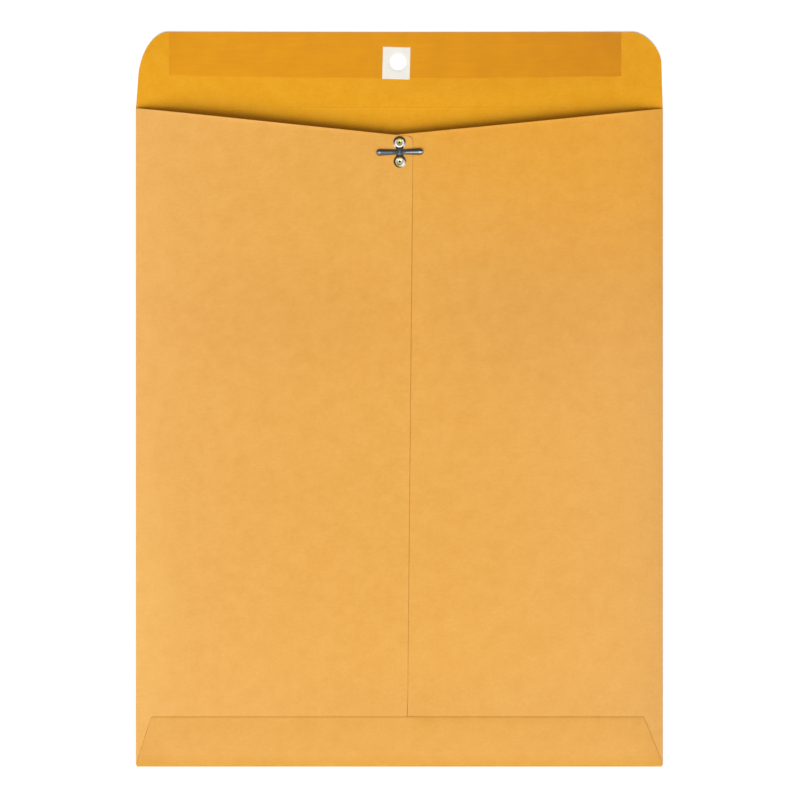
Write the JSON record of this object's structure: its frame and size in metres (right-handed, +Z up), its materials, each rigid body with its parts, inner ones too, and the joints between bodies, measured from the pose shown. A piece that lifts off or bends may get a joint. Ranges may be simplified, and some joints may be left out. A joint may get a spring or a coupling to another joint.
{
  "type": "clasp envelope",
  "caption": "Kraft paper envelope with an overlapping centre seam, a gummed seal flap with a reinforced hole, and a riveted metal clasp with bendable prongs.",
  "frame": {"origin": "centre of the address side's outer face, which lies on the table", "axes": "+Y in the plane of the sheet towards the seal flap, +Z up out of the back with the clasp, +X to the right as the back is seen"},
  "size_m": [0.3048, 0.425, 0.007],
  "materials": {
    "kraft_outside": "matte",
    "kraft_inside": "matte",
    "gum": "satin",
    "glue": "satin",
    "patch_paper": "matte",
    "clasp_steel": "satin"
  },
  "bodies": {
    "pocket": {"front_panel": "kraft_inside", "left_side_fold": "kraft_outside", "right_side_fold": "kraft_outside", "left_back_panel": "kraft_outside", "right_back_panel": "kraft_outside", "seam_glue": "glue", "bottom_fold": "kraft_outside", "bottom_flap": "kraft_outside", "bottom_flap_glue": "glue", "clasp_base": "clasp_steel", "upper_eyelet": "clasp_steel", "lower_eyelet": "clasp_steel"},
    "flap": {"seal_flap": "kraft_inside", "flap_gum": "gum", "hole_patch": "patch_paper"},
    "left_clasp_prong": {"left_prong": "clasp_steel"},
    "right_clasp_prong": {"right_prong": "clasp_steel"}
  },
  "joints": [
    {"name": "flap_crease", "type": "hinge", "parent": "pocket", "child": "flap", "pos_m": [0, 0.1905, 0.0038], "axis": [1, 0, 0], "range_deg": [0, 180]},
    {"name": "left_prong_bend", "type": "hinge", "parent": "pocket", "child": "left_clasp_prong", "pos_m": [-0.0008, 0.16498, 0.00624], "axis": [-0.0192, 0.9998, 0], "range_deg": [0, 90]},
    {"name": "right_prong_bend", "type": "hinge", "parent": "pocket", "child": "right_clasp_prong", "pos_m": [0.0012, 0.16502, 0.00624], "axis": [0.0192, -0.9998, 0], "range_deg": [0, 90]}
  ]
}
